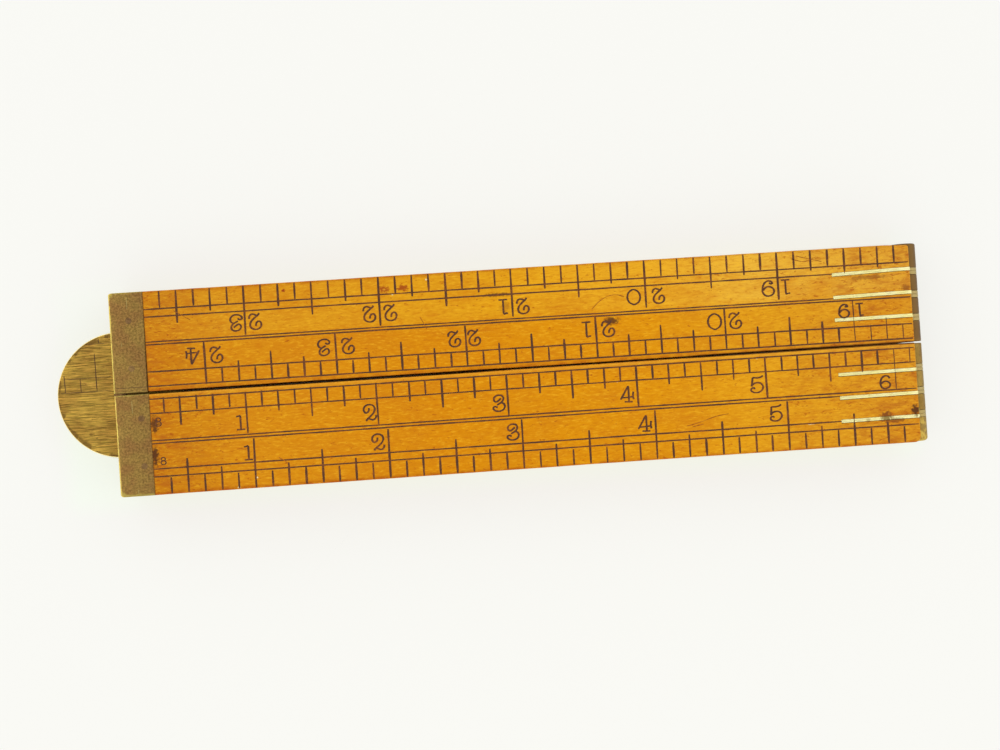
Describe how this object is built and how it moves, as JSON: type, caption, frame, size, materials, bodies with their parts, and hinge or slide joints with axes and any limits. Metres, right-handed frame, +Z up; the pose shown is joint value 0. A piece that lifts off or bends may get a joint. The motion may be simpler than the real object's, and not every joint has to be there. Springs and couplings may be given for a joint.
{
  "type": "folding rule",
  "caption": "Boxwood and brass folding rule, folded flat: legs that pivot in their plane on a round head and fold over on knuckle hinges.",
  "frame": {"origin": "centre of the underside of the folded rule's bounding box", "axes": "+X along the legs from the round head to the knuckle hinges, +Y from legs 1 and 2 towards legs 3 and 4, +Z up from the bottom pair of legs to the top pair"},
  "size_m": [0.172, 0.0394, 0.0093],
  "materials": {
    "boxwood": "aged and varnished, fine grained",
    "tip_brass": "dull aged brass with bright worn edges",
    "head_brass": "brushed brass, tarnished at the rim",
    "roll_brass": "dull brown brass",
    "plate_brass": "bright filed brass",
    "pin_metal": "tarnished, filed flush",
    "washer_steel": "thin rolled sheet"
  },
  "bodies": {
    "leg_2": {"leg_2": "boxwood", "head_tongue": "head_brass", "head_washer_top": "washer_steel", "head_washer_bottom": "washer_steel", "leg_2_head_pins": "pin_metal", "leg_2_cross_pins": "pin_metal", "leg_2_plate_1": "plate_brass", "leg_2_plate_2": "plate_brass", "leg_2_plate_3": "plate_brass", "knuckle_a_barrel_1": "roll_brass", "knuckle_a_barrel_3": "roll_brass", "knuckle_a_pin": "pin_metal"},
    "leg_3": {"leg_3": "boxwood", "head_cheek_top": "head_brass", "head_cheek_bottom": "head_brass", "head_rivet": "pin_metal", "leg_3_head_pins": "pin_metal", "leg_3_cross_pins": "pin_metal", "leg_3_plate_1": "plate_brass", "leg_3_plate_2": "plate_brass", "leg_3_plate_3": "plate_brass", "knuckle_b_barrel_1": "roll_brass", "knuckle_b_barrel_3": "roll_brass", "knuckle_b_pin": "pin_metal"},
    "leg_1": {"leg_1": "boxwood", "leg_1_tip": "tip_brass", "leg_1_tip_pins": "pin_metal", "leg_1_cross_pins": "pin_metal", "leg_1_plate_1": "plate_brass", "leg_1_plate_2": "plate_brass", "leg_1_plate_3": "plate_brass", "knuckle_a_barrel_2": "roll_brass", "knuckle_a_barrel_4": "roll_brass"},
    "leg_4": {"leg_4": "boxwood", "leg_4_tip": "tip_brass", "leg_4_tip_pins": "pin_metal", "leg_4_cross_pins": "pin_metal", "leg_4_plate_1": "plate_brass", "leg_4_plate_2": "plate_brass", "leg_4_plate_3": "plate_brass", "knuckle_b_barrel_2": "roll_brass", "knuckle_b_barrel_4": "roll_brass"}
  },
  "joints": [
    {"name": "head_joint", "type": "hinge", "parent": "leg_2", "child": "leg_3", "pos_m": [-0.07361, 0, 0.0023], "axis": [0, 0, 1], "range_deg": [0, 180]},
    {"name": "knuckle_a", "type": "hinge", "parent": "leg_2", "child": "leg_1", "pos_m": [0.08331, -0.00992, 0.00468], "axis": [0, 1, 0], "range_deg": [0, 180]},
    {"name": "knuckle_b", "type": "hinge", "parent": "leg_3", "child": "leg_4", "pos_m": [0.08331, 0.00992, 0.00468], "axis": [0, 1, 0], "range_deg": [0, 180]}
  ]
}
